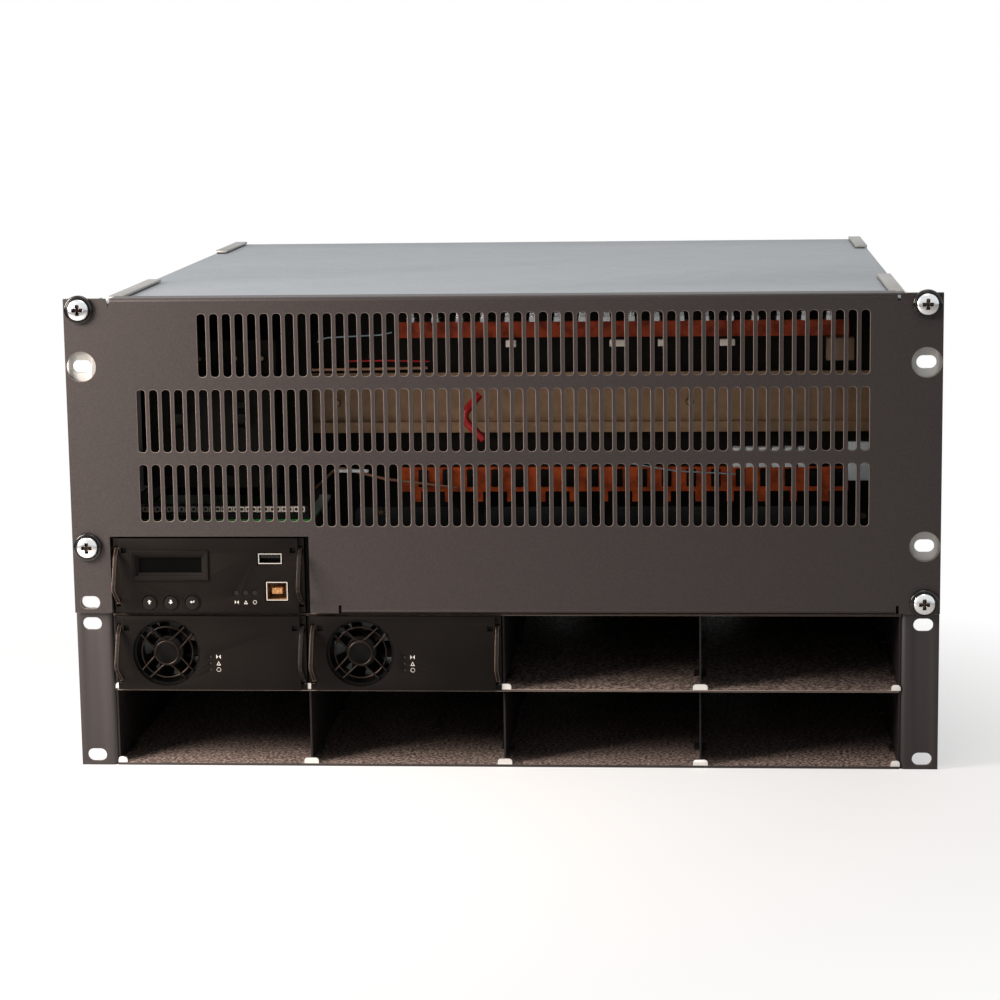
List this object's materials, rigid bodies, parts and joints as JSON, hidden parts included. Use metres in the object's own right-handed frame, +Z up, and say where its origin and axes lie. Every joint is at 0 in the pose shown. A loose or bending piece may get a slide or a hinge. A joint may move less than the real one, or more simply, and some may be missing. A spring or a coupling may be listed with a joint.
{
  "type": "rack power shelf",
  "caption": "Rack power shelf: a two-row shelf of plug-in rectifier bays under a distribution chassis with a slotted front cover and a controller module.",
  "frame": {"origin": "middle of the underside, in the plane of the rack posts (the ears' back faces)", "axes": "+X across the rack to the right seen from the front, +Y towards the rear, +Z up"},
  "size_m": [0.4826, 0.4673, 0.2679],
  "materials": {
    "cover_paint": "fine-texture powder coat, anthracite",
    "galvanised_steel": "galvanised sheet steel, dull",
    "module_case_steel": "zinc-plated sheet steel, satin",
    "module_face": "fine-grained moulding",
    "black_plastic": "satin moulding",
    "handle_metal": "black-coated lever, tip bare",
    "bright_wire": "nickel-plated wire",
    "zinc_screw": "bright zinc-plated steel",
    "copper": "bare copper, darkened",
    "rail_steel": "yellow-passivated zinc",
    "board_green": "solder-masked glass-fibre board",
    "breaker_grey": "moulded housing",
    "toggle_black": "moulded toggle",
    "display": "dark display pane",
    "clear_pipe": "clear moulded light pipe",
    "button_grey": "moulded cap",
    "socket_shell": "nickel-plated shell, bare",
    "standoff_red": "moulded insulator"
  },
  "bodies": {
    "shelf": {"shelf_tray": "cover_paint", "mid_shelf": "galvanised_steel", "shelf_top": "galvanised_steel", "side_liner_left": "galvanised_steel", "side_liner_right": "galvanised_steel", "backplane": "board_green", "divider_lower_left": "galvanised_steel", "divider_lower_middle": "galvanised_steel", "divider_lower_right": "galvanised_steel", "divider_upper_left": "galvanised_steel", "divider_upper_middle": "galvanised_steel", "divider_upper_right": "galvanised_steel", "side_panel_left": "galvanised_steel", "side_panel_right": "galvanised_steel", "chassis_base": "galvanised_steel", "top_cover": "galvanised_steel", "front_cover": "cover_paint", "controller_cage": "galvanised_steel", "cover_screws": "zinc_screw", "cup_washers": "black_plastic", "top_hat_rail": "rail_steel", "mounting_plate": "galvanised_steel", "cable_bracket": "galvanised_steel", "upper_busbar": "copper", "busbar_bolts": "zinc_screw", "comb_busbar": "copper", "busbar_standoffs": "standoff_red", "io_board": "board_green", "breaker_1": "breaker_grey", "breaker_2": "breaker_grey"},
    "rectifier_1": {"rectifier_1_case": "module_case_steel", "rectifier_1_front": "module_face", "rectifier_1_fan_frame": "black_plastic", "rectifier_1_fan_guard": "bright_wire", "rectifier_1_light_pipe": "clear_pipe"},
    "rectifier_1_fan": {"rectifier_1_fan_rotor": "black_plastic"},
    "rectifier_1_handle_left": {"rectifier_1_handle_left": "handle_metal"},
    "rectifier_1_handle_right": {"rectifier_1_handle_right": "handle_metal"},
    "rectifier_2": {"rectifier_2_case": "module_case_steel", "rectifier_2_front": "module_face", "rectifier_2_fan_frame": "black_plastic", "rectifier_2_fan_guard": "bright_wire", "rectifier_2_light_pipe": "clear_pipe"},
    "rectifier_2_fan": {"rectifier_2_fan_rotor": "black_plastic"},
    "rectifier_2_handle_left": {"rectifier_2_handle_left": "handle_metal"},
    "rectifier_2_handle_right": {"rectifier_2_handle_right": "handle_metal"},
    "controller": {"controller_case": "module_case_steel", "controller_front": "module_face", "controller_board": "board_green", "display_window": "display", "data_socket_a": "socket_shell", "data_socket_b": "socket_shell", "controller_light_pipe": "clear_pipe"},
    "controller_handle_left": {"controller_handle_left": "handle_metal"},
    "controller_handle_right": {"controller_handle_right": "handle_metal"},
    "button_up": {"button_up": "button_grey"},
    "button_down": {"button_down": "button_grey"},
    "button_enter": {"button_enter": "button_grey"},
    "breaker_1_toggle": {"breaker_1_toggle": "toggle_black"},
    "breaker_2_toggle": {"breaker_2_toggle": "toggle_black"}
  },
  "joints": [
    {"name": "rectifier_1_slide", "type": "slide", "parent": "shelf", "child": "rectifier_1", "axis": [0, -1, 0], "range_m": [0, 0.34]},
    {"name": "rectifier_1_fan_spin", "type": "hinge", "parent": "rectifier_1", "child": "rectifier_1_fan", "pos_m": [-0.19002, 0.008, 0.06585], "axis": [0, 1, 0], "continuous": true},
    {"name": "rectifier_1_handle_left_hinge", "type": "hinge", "parent": "rectifier_1", "child": "rectifier_1_handle_left", "pos_m": [-0.21652, -0.0019, 0.05], "axis": [1, 0, 0], "range_deg": [0, 50]},
    {"name": "rectifier_1_handle_right_hinge", "type": "hinge", "parent": "rectifier_1", "child": "rectifier_1_handle_right", "pos_m": [-0.11273, -0.0019, 0.05], "axis": [1, 0, 0], "range_deg": [0, 50]},
    {"name": "rectifier_2_slide", "type": "slide", "parent": "shelf", "child": "rectifier_2", "axis": [0, -1, 0], "range_m": [0, 0.34]},
    {"name": "rectifier_2_fan_spin", "type": "hinge", "parent": "rectifier_2", "child": "rectifier_2_fan", "pos_m": [-0.08027, 0.008, 0.06585], "axis": [0, 1, 0], "continuous": true},
    {"name": "rectifier_2_handle_left_hinge", "type": "hinge", "parent": "rectifier_2", "child": "rectifier_2_handle_left", "pos_m": [-0.10677, -0.0019, 0.05], "axis": [1, 0, 0], "range_deg": [0, 50]},
    {"name": "rectifier_2_handle_right_hinge", "type": "hinge", "parent": "rectifier_2", "child": "rectifier_2_handle_right", "pos_m": [-0.00298, -0.0019, 0.05], "axis": [1, 0, 0], "range_deg": [0, 50]},
    {"name": "controller_slide", "type": "slide", "parent": "shelf", "child": "controller", "axis": [0, -1, 0], "range_m": [0, 0.175]},
    {"name": "controller_handle_left_hinge", "type": "hinge", "parent": "controller", "child": "controller_handle_left", "pos_m": [-0.21652, -0.0019, 0.0945], "axis": [1, 0, 0], "range_deg": [0, 50]},
    {"name": "controller_handle_right_hinge", "type": "hinge", "parent": "controller", "child": "controller_handle_right", "pos_m": [-0.11273, -0.0019, 0.0945], "axis": [1, 0, 0], "range_deg": [0, 50]},
    {"name": "button_up_press", "type": "slide", "parent": "controller", "child": "button_up", "axis": [0, 1, 0], "range_m": [0, 0.0008], "stiffness_N_per_m": 900},
    {"name": "button_down_press", "type": "slide", "parent": "controller", "child": "button_down", "axis": [0, 1, 0], "range_m": [0, 0.0008], "stiffness_N_per_m": 900},
    {"name": "button_enter_press", "type": "slide", "parent": "controller", "child": "button_enter", "axis": [0, 1, 0], "range_m": [0, 0.0008], "stiffness_N_per_m": 900},
    {"name": "breaker_1_toggle_hinge", "type": "hinge", "parent": "shelf", "child": "breaker_1_toggle", "pos_m": [-0.183, 0.0203, 0.1967], "axis": [1, 0, 0], "range_deg": [0, 80]},
    {"name": "breaker_2_toggle_hinge", "type": "hinge", "parent": "shelf", "child": "breaker_2_toggle", "pos_m": [-0.1469, 0.0203, 0.1967], "axis": [1, 0, 0], "range_deg": [0, 80]}
  ]
}
